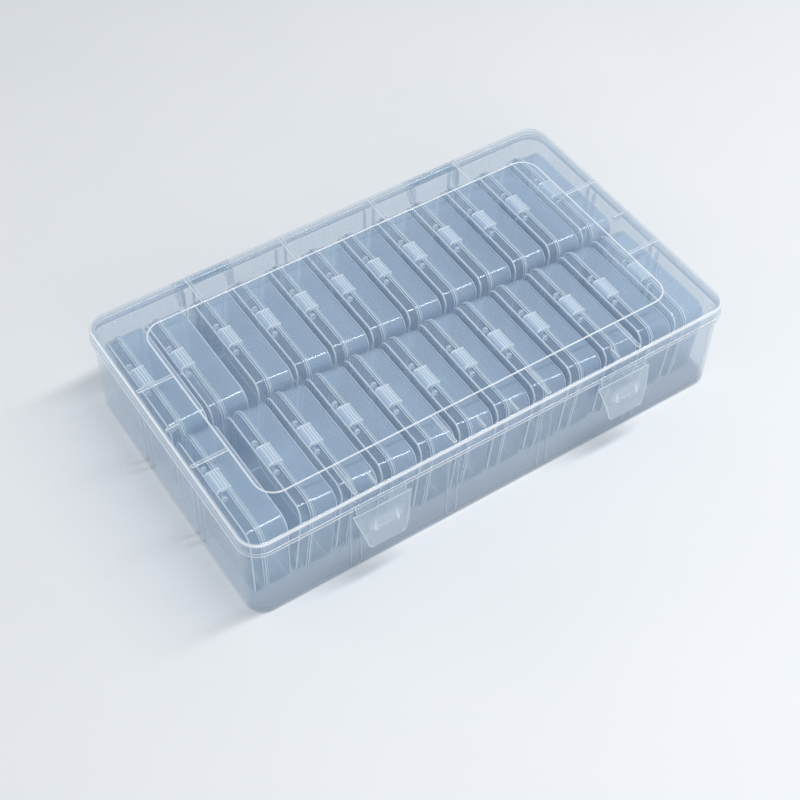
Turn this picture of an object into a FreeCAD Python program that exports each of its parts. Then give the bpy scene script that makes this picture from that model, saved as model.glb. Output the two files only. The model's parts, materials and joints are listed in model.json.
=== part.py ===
import FreeCAD, Part
import math
import os
import re
import Sketcher

# Clear storage box with a hinged lid, two latches and two rows of small flip-lid cases.
# Millimetres and degrees. X runs along the length, the latches face -Y, Z is up, and
# the origin is under the middle of the tray.

SIZES = {
    # Small case, seen from its parting plane
    "case_length": 71.5,
    "case_height": 48.6,
    "case_corner": 8.0,
    "case_wall": 1.0,
    "case_round": 2.0,
    "case_inner_round": 1.0,
    "body_depth": 12.8,
    "cover_depth": 5.5,
    "lip_reach": 0.9,
    "lip_thickness": 1.35,
    "parting_gap": 0.1,
    # Hinge of the small case
    "case_hinge_inset": 4.6,
    "case_hinge_rise": 0.6,
    "case_bar_radius": 0.8,
    "bar_fit": 0.05,
    "ear_radius": 1.5,
    "ear_thickness": 1.2,
    "ear_station": 9.95,
    "clip_length": 10.6,
    "clip_end_bar": 0.9,
    "clip_end_raise": 0.25,
    "clip_cap": 0.65,
    "clip_nose": 0.95,
    "clip_lip_gap": 0.25,
    "clip_groove_width": 0.55,
    "clip_groove_depth": 0.35,
    "clip_groove_pitch": 1.7,
    # The two rows
    "row_count": 12,
    "front_upright": 1,
    "back_upright": 2,
    "front_lean": 6.5,
    "back_lean": 5.5,
    "case_gap": 0.5,
    "wall_gap": 2.8,
    "row_gap": 1.8,
    "end_gap": 6.4,
    "seat_gap": 0.2,
    # Tray
    "tray_wall": 1.3,
    "tray_floor": 1.4,
    "tray_corner": 9.6,
    "tray_foot_round": 1.6,
    "tray_inner_round": 1.0,
    "tray_top_gap": 1.0,
    "flange_thickness": 1.2,
    "grid_columns": 5,
    "grid_rows": 3,
    "rib_width": 1.0,
    "rib_depth": 1.5,
    "rib_spacing": 5.5,
    "rib_top_gap": 4.0,
    "rib_foot_length": 2.4,
    "rib_foot_height": 0.8,
    # Lid
    "lid_gap": 0.9,
    "lid_top": 1.3,
    "lid_round": 1.8,
    "lid_side_gap": 0.35,
    "skirt_wall": 1.25,
    "skirt_height": 7.4,
    "seam_gap": 0.35,
    "ridge_inset": 21.5,
    "ridge_corner": 10.0,
    "ridge_width": 1.0,
    "ridge_height": 0.5,
    "tick_width": 2.2,
    "tick_height": 0.4,
    "tick_edge": 2.4,
    "tab_radius": 3.5,
    "tab_thickness": 1.2,
    "tab_gap": 0.4,
    "tab_station": 9.3,
    # Lid hinge
    "hinge_station": 70.0,
    "hinge_bar_radius": 1.25,
    "hinge_fit": 0.08,
    "hinge_knuckle_wall": 1.1,
    "hinge_knuckle_length": 24.0,
    "hinge_ear_thickness": 3.5,
    "hinge_play": 0.4,
    "hinge_gap": 0.35,
    "hinge_drop": 0.5,
    "hinge_arm_height": 3.0,
    "hinge_web_height": 10.0,
    # Latches
    "latch_station": 69.4,
    "latch_width": 31.0,
    "latch_waist": 25.0,
    "latch_tip": 20.0,
    "latch_corner": 2.4,
    "latch_thickness": 1.4,
    "latch_knuckle": 0.8,
    "latch_stand": 1.6,
    "latch_drop": 3.8,
    "latch_slope_reach": 3.9,
    "latch_slope_drop": 11.0,
    "latch_tab_reach": 1.2,
    "latch_tab_drop": 10.0,
    "latch_pad_width": 12.5,
    "latch_pad_height": 6.0,
    "latch_pad_raise": 0.9,
    "latch_hook_level": 8.2,
    "latch_hook_height": 1.2,
    "latch_gap": 0.3,
    "catch_reach": 2.6,
    "catch_height": 4.0,
    "ledge_width": 27.0,
    "ledge_rise": 1.8,
}

# Sizes that follow from the ones above, each a formula in their names.
DERIVED = {
    "body_side": "lip_thickness + body_depth",
    "cover_side": "lip_thickness + cover_depth",
    "case_pitch": "body_side + cover_side + case_gap",
    "shell_half_length": "case_length / 2 - lip_reach",
    "shell_half_height": "case_height / 2 - lip_reach",
    "shell_corner": "case_corner - lip_reach",
    "hinge_level": "case_height / 2 + case_hinge_rise",
    "clip_bore": "case_bar_radius + bar_fit",
    "clip_top": "hinge_level + clip_bore + clip_cap",
    "clip_reach": "case_hinge_inset + clip_bore + clip_nose",
    "clip_under": "case_height / 2 + clip_lip_gap",
    "case_top": "clip_top + clip_end_raise",
    "inner_length": "max(front_row; back_row)",
    "inner_width": "2 * (case_length + end_gap) + row_gap",
    "inner_corner": "tray_corner - tray_wall",
    "tray_length": "inner_length + 2 * tray_wall",
    "tray_width": "inner_width + 2 * tray_wall",
    "lid_overhang": "lid_side_gap + skirt_wall",
    "lid_length": "tray_length + 2 * lid_overhang",
    "lid_width": "tray_width + 2 * lid_overhang",
    "lid_corner": "tray_corner + lid_overhang",
    "lid_under": "max(front_top; back_top; tray_floor + seat_gap + case_height / 2 + case_top) + lid_gap",
    "box_height": "lid_under + lid_top",
    "skirt_bottom": "box_height - skirt_height",
    "flange_top": "skirt_bottom - seam_gap",
    "tray_height": "lid_under - tray_top_gap",
    "grid_x": "inner_length / grid_columns",
    "grid_y": "inner_width / grid_rows",
    "knuckle_radius": "hinge_bar_radius + hinge_fit + hinge_knuckle_wall",
    "hinge_y": "lid_width / 2 + hinge_gap + knuckle_radius",
    "hinge_z": "flange_top - hinge_drop",
    "hinge_ear_station": "hinge_knuckle_length / 2 + hinge_play + hinge_ear_thickness / 2",
    "latch_y": "-(lid_width / 2 + latch_stand)",
    "latch_z": "skirt_bottom - latch_drop",
    "latch_hook_tip": "lid_overhang + latch_stand - catch_reach - latch_gap",
    "catch_bottom": "latch_z - latch_hook_level + latch_gap",
}
for row in ("front", "back"):
    lean = f"{row}_lean"
    DERIVED[f"{row}_swing"] = f"(shell_half_height - case_round) * sin({lean}) + case_round"
    DERIVED[f"{row}_lead"] = f"(cover_side - case_round) * cos({lean}) + {row}_swing"
    DERIVED[f"{row}_trail"] = f"(body_side - case_round) * cos({lean}) + {row}_swing"
    DERIVED[f"{row}_step"] = f"case_pitch / cos({lean})"
    DERIVED[f"{row}_start"] = f"wall_gap + {row}_upright * case_pitch + {row}_lead"
    DERIVED[f"{row}_row"] = (
        f"{row}_start + (row_count - {row}_upright - 1) * {row}_step + {row}_trail + wall_gap"
    )
    DERIVED[f"{row}_lip_drop"] = f"case_height / 2 * cos({lean}) + lip_thickness * sin({lean})"
    DERIVED[f"{row}_shell_drop"] = (
        f"(shell_half_height - case_round) * cos({lean}) "
        f"+ (body_side - case_round) * sin({lean}) + case_round"
    )
    DERIVED[f"{row}_level"] = f"tray_floor + seat_gap + max({row}_lip_drop; {row}_shell_drop)"
    DERIVED[f"{row}_top"] = f"{row}_level + case_top * cos({lean}) + clip_reach * sin({lean})"

doc = FreeCAD.newDocument("craft_storage_box")
sheet = doc.addObject("Spreadsheet::Sheet", "Sizes")
for number, (alias, size) in enumerate(SIZES.items(), start=1):
    sheet.set(f"A{number}", alias)
    sheet.set(f"B{number}", str(size))
    sheet.setAlias(f"B{number}", alias)
doc.recompute()

pockets = []


def formula(text):
    """The text as an expression on the sheet, with derived names written out."""
    def spell(match):
        word = match.group(0)
        if word in DERIVED:
            return f"({formula(DERIVED[word])})"
        return f"Sizes.{word}" if word in SIZES else word
    return re.sub(r"[a-z]\w*", spell, text)


def value(text):
    """The number that a formula gives now."""
    return float(sheet.evalExpression(formula(text)))


def new_body(name):
    body = doc.addObject("PartDesign::Body", name)
    body.Label = name
    return body


def new_sketch(body, name, role, offset="0"):
    """Sketch on one of the body's own origin planes, moved along that plane's normal."""
    sketch = body.newObject("Sketcher::SketchObject", name)
    plane = next(item for item in body.Origin.OriginFeatures if item.Role == role)
    sketch.AttachmentSupport = [(plane, "")]
    sketch.MapMode = "FlatFace"
    sketch.setExpression("AttachmentOffset.Base.z", formula(offset))
    return sketch


def bind(sketch, constraint, text):
    """Add a constraint whose value follows a formula."""
    index = sketch.addConstraint(constraint)
    sketch.setExpression(f"Constraints[{index}]", formula(text))


def place_point(sketch, geometry, point, x, y):
    """Hold a point of the sketch at x, y from the sketch's origin."""
    bind(sketch, Sketcher.Constraint("DistanceX", -1, 1, geometry, point, value(x)), x)
    bind(sketch, Sketcher.Constraint("DistanceY", -1, 1, geometry, point, value(y)), y)


def polygon(sketch, corners):
    """Closed outline of straight lines through corners given as pairs of formulas."""
    points = [FreeCAD.Vector(value(x), value(y), 0) for x, y in corners]
    count = len(points)
    lines = [
        sketch.addGeometry(Part.LineSegment(points[i], points[(i + 1) % count]), False)
        for i in range(count)
    ]
    for i in range(count):
        sketch.addConstraint(Sketcher.Constraint("Coincident", lines[i], 2, lines[(i + 1) % count], 1))
    for line, (x, y) in zip(lines, corners):
        place_point(sketch, line, 1, x, y)


def rectangle(sketch, low_x, high_x, low_y, high_y):
    polygon(sketch, [(low_x, low_y), (high_x, low_y), (high_x, high_y), (low_x, high_y)])


def rounded_rectangle(sketch, half_x, half_y, radius):
    """Rectangle about the origin with round corners: four lines and four arcs in turn."""
    a, b, r = value(half_x), value(half_y), value(radius)
    outline = []
    for i, (sx, sy) in enumerate(((1, -1), (1, 1), (-1, 1), (-1, -1))):
        centre = FreeCAD.Vector(sx * (a - r), sy * (b - r), 0)
        disc = Part.Circle(centre, FreeCAD.Vector(0, 0, 1), r)
        outline.append(Part.ArcOfCircle(disc, (i - 1) * math.pi / 2, i * math.pi / 2))
    arcs = [sketch.addGeometry(arc, False) for arc in outline]
    lines = []
    for i in range(4):
        ends = (outline[i].EndPoint, outline[(i + 1) % 4].StartPoint)
        lines.append(sketch.addGeometry(Part.LineSegment(*ends), False))
    for i in range(4):
        sketch.addConstraint(Sketcher.Constraint("Tangent", arcs[i], 2, lines[i], 1))
        sketch.addConstraint(Sketcher.Constraint("Tangent", lines[i], 2, arcs[(i + 1) % 4], 1))
        if i:
            sketch.addConstraint(Sketcher.Constraint("Equal", arcs[0], arcs[i]))
    for i, kind in enumerate(("Vertical", "Horizontal", "Vertical", "Horizontal")):
        sketch.addConstraint(Sketcher.Constraint(kind, lines[i]))
    bind(sketch, Sketcher.Constraint("Radius", arcs[0], r), radius)
    bind(sketch, Sketcher.Constraint("DistanceX", -1, 1, lines[0], 1, a), half_x)
    bind(sketch, Sketcher.Constraint("DistanceY", -1, 1, lines[1], 1, b), half_y)
    bind(sketch, Sketcher.Constraint("DistanceX", lines[2], 1, -1, 1, a), half_x)
    bind(sketch, Sketcher.Constraint("DistanceY", lines[3], 1, -1, 1, b), half_y)


def circle(sketch, x, y, radius):
    centre = FreeCAD.Vector(value(x), value(y), 0)
    disc = Part.Circle(centre, FreeCAD.Vector(0, 0, 1), value(radius))
    ring = sketch.addGeometry(disc, False)
    place_point(sketch, ring, 3, x, y)
    bind(sketch, Sketcher.Constraint("Radius", ring, value(radius)), radius)


def half_disc(sketch, x, y, radius):
    """Half circle that hangs below its straight edge."""
    centre = FreeCAD.Vector(value(x), value(y), 0)
    disc = Part.Circle(centre, FreeCAD.Vector(0, 0, 1), value(radius))
    arc = sketch.addGeometry(Part.ArcOfCircle(disc, math.pi, 2 * math.pi), False)
    reach = FreeCAD.Vector(value(radius), 0, 0)
    edge = sketch.addGeometry(Part.LineSegment(centre + reach, centre - reach), False)
    sketch.addConstraint(Sketcher.Constraint("Coincident", arc, 2, edge, 1))
    sketch.addConstraint(Sketcher.Constraint("Coincident", edge, 2, arc, 1))
    sketch.addConstraint(Sketcher.Constraint("Horizontal", edge))
    sketch.addConstraint(Sketcher.Constraint("PointOnObject", arc, 3, edge))
    place_point(sketch, arc, 3, x, y)
    bind(sketch, Sketcher.Constraint("Radius", arc, value(radius)), radius)


def pad(body, sketch, length, both_ways=False, backwards=False):
    feature = body.newObject("PartDesign::Pad", sketch.Name + "_pad")
    feature.Profile = sketch
    feature.setExpression("Length", formula(length))
    feature.Midplane = both_ways
    feature.Reversed = backwards
    return feature


def pocket(body, sketch, length, both_ways=False, backwards=False):
    feature = body.newObject("PartDesign::Pocket", sketch.Name + "_pocket")
    feature.Profile = sketch
    feature.setExpression("Length", formula(length))
    feature.Midplane = both_ways
    feature.Reversed = backwards
    pockets.append(feature)
    return feature


def fillet(body, name, base, faces, radius):
    feature = body.newObject("PartDesign::Fillet", name)
    feature.Base = (base, faces)
    feature.setExpression("Radius", formula(radius))
    return feature


def face_at(feature, axis, level):
    """Name of the largest flat face of a feature that lies square to an axis at a level."""
    doc.recompute()
    found = []
    for number, face in enumerate(feature.Shape.Faces, start=1):
        box = face.BoundBox
        low, high = getattr(box, axis + "Min"), getattr(box, axis + "Max")
        if abs(low - level) < 1e-4 and abs(high - level) < 1e-4:
            found.append((face.Area, f"Face{number}"))
    return max(found)[1]


def repeat(body, name, features, axis, count, length):
    """Copies of features in a row along one of the body's axes."""
    doc.recompute()
    pattern = body.newObject("PartDesign::LinearPattern", name)
    pattern.Originals = features
    line = next(item for item in body.Origin.OriginFeatures if item.Role == axis)
    pattern.Direction = (line, [""])
    pattern.setExpression("Length", formula(length))
    pattern.setExpression("Occurrences", formula(count))
    body.Tip = pattern
    return pattern


def make_case_body():
    """Deep half of a small case, with the clip of its hinge, on the +X side of the parting plane."""
    body = new_body("case_body_pattern")
    shell = new_sketch(body, "case_shell", "YZ_Plane")
    rounded_rectangle(shell, "shell_half_length", "shell_half_height", "shell_corner")
    block = pad(body, shell, "body_side")
    end = face_at(block, "X", value("body_side"))
    fillet(body, "case_end_round", block, [end], "case_round")
    hollow = new_sketch(body, "case_hollow", "YZ_Plane")
    rounded_rectangle(
        hollow, "shell_half_length - case_wall", "shell_half_height - case_wall", "shell_corner - case_wall"
    )
    room = pocket(body, hollow, "body_side - case_wall", backwards=True)
    inner_end = face_at(room, "X", value("body_side - case_wall"))
    fillet(body, "case_inner_round", room, [inner_end], "case_inner_round")
    lip = new_sketch(body, "case_lip", "YZ_Plane")
    rounded_rectangle(lip, "case_length / 2", "case_height / 2", "case_corner")
    rounded_rectangle(
        lip, "shell_half_length - case_wall", "shell_half_height - case_wall", "shell_corner - case_wall"
    )
    pad(body, lip, "lip_thickness")

    clip = new_sketch(body, "case_clip", "XZ_Plane")
    polygon(clip, [
        ("-clip_reach", "clip_under"),
        ("0", "clip_under"),
        ("0", "case_height / 2 - lip_reach"),
        ("lip_thickness", "case_height / 2 - lip_reach"),
        ("lip_thickness", "case_top"),
        ("-case_hinge_inset", "case_top"),
        ("-clip_reach", "hinge_level + clip_bore"),
    ])
    pad(body, clip, "clip_length + 2 * clip_end_bar", both_ways=True)
    bore = new_sketch(body, "case_clip_bore", "XZ_Plane")
    circle(bore, "-case_hinge_inset", "hinge_level", "clip_bore")
    pocket(body, bore, "2 * clip_length", both_ways=True)
    saddle = new_sketch(body, "case_clip_saddle", "XY_Plane", "case_top")
    rectangle(
        saddle,
        "-clip_reach - clip_nose",
        "lip_thickness + clip_nose",
        "-clip_length / 2",
        "clip_length / 2",
    )
    pocket(body, saddle, "clip_end_raise")
    grooves = new_sketch(body, "case_clip_grooves", "XY_Plane", "clip_top")
    for step in (0, 1):
        middle = f"-clip_groove_pitch * {step} - clip_groove_width"
        rectangle(
            grooves,
            f"{middle} - clip_groove_width / 2",
            f"{middle} + clip_groove_width / 2",
            "-clip_length / 2",
            "clip_length / 2",
        )
    pocket(body, grooves, "clip_groove_depth")
    return body


def make_case_cover():
    """Shallow half of a small case, with the ears and bar of its hinge, on the -X side."""
    body = new_body("case_lid_pattern")
    shell = new_sketch(body, "cover_shell", "YZ_Plane", "-parting_gap")
    rounded_rectangle(shell, "shell_half_length", "shell_half_height", "shell_corner")
    block = pad(body, shell, "cover_side - parting_gap", backwards=True)
    end = face_at(block, "X", value("-cover_side"))
    fillet(body, "cover_end_round", block, [end], "case_round")
    hollow = new_sketch(body, "cover_hollow", "YZ_Plane", "-parting_gap")
    rounded_rectangle(
        hollow, "shell_half_length - case_wall", "shell_half_height - case_wall", "shell_corner - case_wall"
    )
    room = pocket(body, hollow, "cover_side - parting_gap - case_wall")
    inner_end = face_at(room, "X", value("-cover_side + case_wall"))
    fillet(body, "cover_inner_round", room, [inner_end], "case_inner_round")
    lip = new_sketch(body, "cover_lip", "YZ_Plane", "-parting_gap")
    rounded_rectangle(lip, "case_length / 2", "case_height / 2", "case_corner")
    rounded_rectangle(
        lip, "shell_half_length - case_wall", "shell_half_height - case_wall", "shell_corner - case_wall"
    )
    pad(body, lip, "lip_thickness - parting_gap", backwards=True)

    for side, sign in (("near", ""), ("far", "-")):
        post = new_sketch(body, f"cover_ear_post_{side}", "XZ_Plane", f"{sign}ear_station")
        rectangle(
            post,
            "-case_hinge_inset - ear_radius",
            "-case_hinge_inset + ear_radius",
            "shell_half_height - case_wall / 2",
            "hinge_level",
        )
        pad(body, post, "ear_thickness", both_ways=True)
        crown = new_sketch(body, f"cover_ear_crown_{side}", "XZ_Plane", f"{sign}ear_station")
        circle(crown, "-case_hinge_inset", "hinge_level", "ear_radius")
        pad(body, crown, "ear_thickness", both_ways=True)
    bar = new_sketch(body, "cover_bar", "XZ_Plane")
    circle(bar, "-case_hinge_inset", "hinge_level", "case_bar_radius")
    pad(body, bar, "2 * ear_station", both_ways=True)
    return body


def make_tray():
    """Open tray: shell, flange, divider ribs, latch catches, and the ears and bars of the lid hinge."""
    body = new_body("base_tray")
    shell = new_sketch(body, "tray_shell", "XY_Plane")
    rounded_rectangle(shell, "tray_length / 2", "tray_width / 2", "tray_corner")
    block = pad(body, shell, "tray_height")
    foot = face_at(block, "Z", 0)
    fillet(body, "tray_foot_round", block, [foot], "tray_foot_round")
    hollow = new_sketch(body, "tray_hollow", "XY_Plane", "tray_height")
    rounded_rectangle(hollow, "inner_length / 2", "inner_width / 2", "inner_corner")
    room = pocket(body, hollow, "tray_height - tray_floor")
    floor = face_at(room, "Z", value("tray_floor"))
    fillet(body, "tray_inner_round", room, [floor], "tray_inner_round")
    flange = new_sketch(body, "tray_flange", "XY_Plane", "flange_top")
    rounded_rectangle(flange, "lid_length / 2", "lid_width / 2", "lid_corner")
    rounded_rectangle(
        flange,
        "inner_length / 2 + tray_wall / 2",
        "inner_width / 2 + tray_wall / 2",
        "inner_corner + tray_wall / 2",
    )
    pad(body, flange, "flange_thickness", backwards=True)
    add_ribs(body)
    add_catches(body)
    add_hinge_ears(body)
    return body


def add_ribs(body):
    """Pairs of upright ribs on the inner walls, with a short foot on the floor, at the grid lines."""
    runs = (
        ("long", "inner_width / 2", "-inner_length / 2 + grid_x", "X_Axis", "grid_columns", "grid_x"),
        ("short", "inner_length / 2", "-inner_width / 2 + grid_y", "Y_Axis", "grid_rows", "grid_y"),
    )
    for run, wall, station, axis, count, pitch in runs:
        features = []
        for part, reach, height in (
            ("rib", "rib_depth", "tray_height - tray_floor - rib_top_gap"),
            ("foot", "rib_foot_length", "rib_foot_height + tray_inner_round"),
        ):
            sketch = new_sketch(body, f"{run}_wall_{part}", "XY_Plane", "tray_floor / 2")
            for pair in ("-", "+"):
                middle = f"{station} {pair} rib_spacing / 2"
                along = (f"{middle} - rib_width / 2", f"{middle} + rib_width / 2")
                for low, high in (
                    (f"-{wall} - tray_wall / 2", f"-{wall} + {reach}"),
                    (f"{wall} - {reach}", f"{wall} + tray_wall / 2"),
                ):
                    sides = along + (low, high) if run == "long" else (low, high) + along
                    rectangle(sketch, *sides)
            features.append(pad(body, sketch, f"{height} + tray_floor / 2"))
        repeat(body, f"{run}_wall_ribs", features, axis, f"{count} - 1", f"({count} - 2) * {pitch}")


def add_catches(body):
    """Sloped catch on the front wall behind each latch."""
    for side, sign in (("left", "-"), ("right", "")):
        catch = new_sketch(body, f"catch_{side}", "YZ_Plane", f"{sign}latch_station")
        polygon(catch, [
            ("-tray_width / 2 + tray_wall / 2", "catch_bottom"),
            ("-tray_width / 2 + tray_wall / 2", "catch_bottom + catch_height"),
            ("-tray_width / 2", "catch_bottom + catch_height"),
            ("-tray_width / 2 - catch_reach", "catch_bottom + catch_height / 2"),
            ("-tray_width / 2 - catch_reach", "catch_bottom"),
        ])
        pad(body, catch, "latch_pad_width", both_ways=True)


def add_hinge_ears(body):
    """Two ears on webs and a bar between them, for each of the two lid hinges."""
    for side, sign in (("left", "-"), ("right", "")):
        for edge, step in (("outer", "+"), ("inner", "-")):
            station = f"{sign}hinge_station {step} hinge_ear_station"
            web = new_sketch(body, f"hinge_web_{side}_{edge}", "YZ_Plane", station)
            polygon(web, [
                ("tray_width / 2 - tray_wall / 2", "hinge_z - hinge_web_height"),
                ("hinge_y + knuckle_radius * 0.7", "hinge_z - knuckle_radius * 0.7"),
                ("hinge_y", "hinge_z"),
                ("tray_width / 2 - tray_wall / 2", "hinge_z"),
            ])
            pad(body, web, "hinge_ear_thickness", both_ways=True)
            ear = new_sketch(body, f"hinge_ear_{side}_{edge}", "YZ_Plane", station)
            circle(ear, "hinge_y", "hinge_z", "knuckle_radius")
            pad(body, ear, "hinge_ear_thickness", both_ways=True)
        bar = new_sketch(body, f"hinge_bar_{side}", "YZ_Plane", f"{sign}hinge_station")
        circle(bar, "hinge_y", "hinge_z", "hinge_bar_radius")
        pad(body, bar, "2 * hinge_ear_station", both_ways=True)


def make_lid():
    """Cover with its skirt, the ridge and bars on top, locating tabs, latch ledges and hinge clips."""
    body = new_body("lid")
    cover = new_sketch(body, "lid_cover", "XY_Plane", "skirt_bottom")
    rounded_rectangle(cover, "lid_length / 2", "lid_width / 2", "lid_corner")
    block = pad(body, cover, "skirt_height")
    top = face_at(block, "Z", value("box_height"))
    fillet(body, "lid_round", block, [top], "lid_round")
    hollow = new_sketch(body, "lid_hollow", "XY_Plane", "skirt_bottom")
    rounded_rectangle(
        hollow, "lid_length / 2 - skirt_wall", "lid_width / 2 - skirt_wall", "lid_corner - skirt_wall"
    )
    pocket(body, hollow, "skirt_height - lid_top", backwards=True)
    add_top_pattern(body)
    add_tabs(body)
    add_ledges(body)
    add_hinge_clips(body)
    return body


def add_top_pattern(body):
    """Raised rounded rectangle on the lid, and short bars from it to the edge at the grid lines."""
    half_x = "lid_length / 2 - ridge_inset"
    half_y = "lid_width / 2 - ridge_inset"
    ridge = new_sketch(body, "lid_ridge", "XY_Plane", "box_height")
    rounded_rectangle(
        ridge,
        f"{half_x} + ridge_width / 2",
        f"{half_y} + ridge_width / 2",
        "ridge_corner + ridge_width / 2",
    )
    rounded_rectangle(
        ridge,
        f"{half_x} - ridge_width / 2",
        f"{half_y} - ridge_width / 2",
        "ridge_corner - ridge_width / 2",
    )
    pad(body, ridge, "ridge_height")
    runs = (
        ("long", half_y, "lid_width", "-inner_length / 2 + grid_x", "X_Axis", "grid_columns", "grid_x"),
        ("short", half_x, "lid_length", "-inner_width / 2 + grid_y", "Y_Axis", "grid_rows", "grid_y"),
    )
    for run, inner, outer, station, axis, count, pitch in runs:
        sketch = new_sketch(body, f"lid_ticks_{run}", "XY_Plane", "box_height")
        along = (f"{station} - tick_width / 2", f"{station} + tick_width / 2")
        for low, high in (
            (f"-{outer} / 2 + tick_edge", f"-({inner})"),
            (f"{inner}", f"{outer} / 2 - tick_edge"),
        ):
            sides = along + (low, high) if run == "long" else (low, high) + along
            rectangle(sketch, *sides)
        tick = pad(body, sketch, "tick_height")
        repeat(body, f"lid_tick_row_{run}", [tick], axis, f"{count} - 1", f"({count} - 2) * {pitch}")


def add_tabs(body):
    """Half-round tabs under the lid: four along the front and one at each end."""
    stations = ("-latch_station", "-tab_station", "tab_station", "latch_station")
    for number, station in enumerate(stations, start=1):
        tab = new_sketch(body, f"lid_tab_front_{number}", "YZ_Plane", station)
        half_disc(tab, "-inner_width / 2 + tab_gap + tab_radius", "lid_under", "tab_radius")
        pad(body, tab, "tab_thickness", both_ways=True)
    for side, sign in (("left", "-"), ("right", "")):
        tab = new_sketch(body, f"lid_tab_{side}", "XZ_Plane")
        half_disc(tab, f"{sign}(inner_length / 2 - tab_gap - tab_radius)", "lid_under", "tab_radius")
        pad(body, tab, "tab_thickness", both_ways=True)


def add_ledges(body):
    """Sloped ledge on the front of the skirt above each latch."""
    hinge_top = "latch_z + latch_knuckle + latch_gap"
    for side, sign in (("left", "-"), ("right", "")):
        ledge = new_sketch(body, f"latch_ledge_{side}", "YZ_Plane", f"{sign}latch_station")
        polygon(ledge, [
            ("-lid_width / 2 + skirt_wall / 2", "skirt_bottom"),
            ("-lid_width / 2 + skirt_wall / 2", "skirt_bottom + ledge_rise"),
            ("-lid_width / 2", "skirt_bottom + ledge_rise"),
            ("latch_y", f"{hinge_top} + latch_gap"),
            ("latch_y", hinge_top),
            ("-lid_width / 2 - hinge_gap", hinge_top),
            ("-lid_width / 2 - hinge_gap", "skirt_bottom"),
        ])
        pad(body, ledge, "ledge_width", both_ways=True)


def add_hinge_clips(body):
    """Arm and knuckle on the back of the skirt that turn on each bar of the tray."""
    for side, sign in (("left", "-"), ("right", "")):
        station = f"{sign}hinge_station"
        arm = new_sketch(body, f"hinge_arm_{side}", "YZ_Plane", station)
        polygon(arm, [
            ("lid_width / 2 - skirt_wall / 2", "skirt_bottom"),
            ("lid_width / 2 + hinge_gap", "skirt_bottom"),
            ("hinge_y", "hinge_z + hinge_bar_radius"),
            ("hinge_y", "hinge_z + knuckle_radius"),
            ("lid_width / 2", "skirt_bottom + hinge_arm_height"),
            ("lid_width / 2 - skirt_wall / 2", "skirt_bottom + hinge_arm_height"),
        ])
        pad(body, arm, "hinge_knuckle_length", both_ways=True)
        knuckle = new_sketch(body, f"hinge_knuckle_{side}", "YZ_Plane", station)
        circle(knuckle, "hinge_y", "hinge_z", "knuckle_radius")
        pad(body, knuckle, "hinge_knuckle_length", both_ways=True)
        bore = new_sketch(body, f"hinge_bore_{side}", "YZ_Plane", station)
        circle(bore, "hinge_y", "hinge_z", "hinge_bar_radius + hinge_fit")
        pocket(body, bore, "2 * hinge_knuckle_length", both_ways=True)


def make_latch(name, sign):
    """Thumb flap: a knuckle on the hinge line, a sloping plate with a raised pad, a tab and a hook."""
    body = new_body(name)
    slope_end = ("latch_slope_reach", "latch_slope_drop")
    tip = ("latch_slope_reach + latch_tab_reach", "latch_slope_drop + latch_tab_drop")
    plate = new_sketch(body, f"{name}_plate", "YZ_Plane")
    polygon(plate, [
        ("-latch_thickness / 2", "0"),
        (f"-({slope_end[0]}) - latch_thickness / 2", f"-({slope_end[1]})"),
        (f"-({tip[0]}) - latch_thickness / 2", f"-({tip[1]})"),
        (f"-({tip[0]}) + latch_thickness / 2", f"-({tip[1]})"),
        (f"-({slope_end[0]}) + latch_thickness / 2", f"-({slope_end[1]})"),
        ("latch_thickness / 2", "0"),
    ])
    pad(body, plate, "latch_width", both_ways=True)
    outline = new_sketch(body, f"{name}_outline", "XZ_Plane")
    below = "-latch_slope_drop - latch_tab_drop - latch_corner"
    for side in ("-", ""):
        beside = f"{side}(latch_width / 2 + latch_corner)"
        polygon(outline, [
            (f"{side}latch_width / 2", "latch_knuckle"),
            (f"{side}latch_waist / 2", "-latch_slope_drop"),
            (f"{side}latch_tip / 2", "-latch_slope_drop - latch_tab_drop"),
            (f"{side}latch_tip / 2", below),
            (beside, below),
            (beside, "latch_knuckle"),
        ])
    cut = pocket(body, outline, "latch_width", both_ways=True)
    doc.recompute()
    low = value("-latch_slope_drop - latch_tab_drop")
    corners = [
        f"Edge{number}"
        for number, edge in enumerate(cut.Shape.Edges, start=1)
        if abs(edge.BoundBox.ZMax - low) < 1e-4 and edge.BoundBox.XLength < 1e-4
    ]
    fillet(body, f"{name}_corner_round", cut, corners, "latch_corner")
    knuckle = new_sketch(body, f"{name}_knuckle", "YZ_Plane")
    circle(knuckle, "0", "0", "latch_knuckle")
    pad(body, knuckle, "latch_width", both_ways=True)
    thumb = new_sketch(body, f"{name}_pad", "YZ_Plane")
    slope = "latch_slope_reach / latch_slope_drop"
    pad_top = "(latch_slope_drop - latch_pad_height)"
    polygon(thumb, [
        (f"-{pad_top} * {slope} - latch_thickness / 2", f"-{pad_top}"),
        ("-latch_slope_reach - latch_thickness / 2 - latch_pad_raise", "-latch_slope_drop"),
        ("-latch_slope_reach", "-latch_slope_drop"),
        (f"-{pad_top} * {slope}", f"-{pad_top}"),
    ])
    pad(body, thumb, "latch_pad_width", both_ways=True)
    hook = new_sketch(body, f"{name}_hook", "YZ_Plane")
    polygon(hook, [
        (f"-latch_hook_level * {slope}", "-latch_hook_level"),
        ("latch_hook_tip", "-latch_hook_level"),
        ("latch_hook_tip", "-latch_hook_level - latch_hook_height / 2"),
        (f"-(latch_hook_level + latch_hook_height) * {slope}", "-latch_hook_level - latch_hook_height"),
    ])
    pad(body, hook, "latch_pad_width", both_ways=True)
    body.setExpression("Placement.Base.x", formula(f"{sign}latch_station"))
    body.setExpression("Placement.Base.y", formula("latch_y"))
    body.setExpression("Placement.Base.z", formula("latch_z"))
    return body


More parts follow.
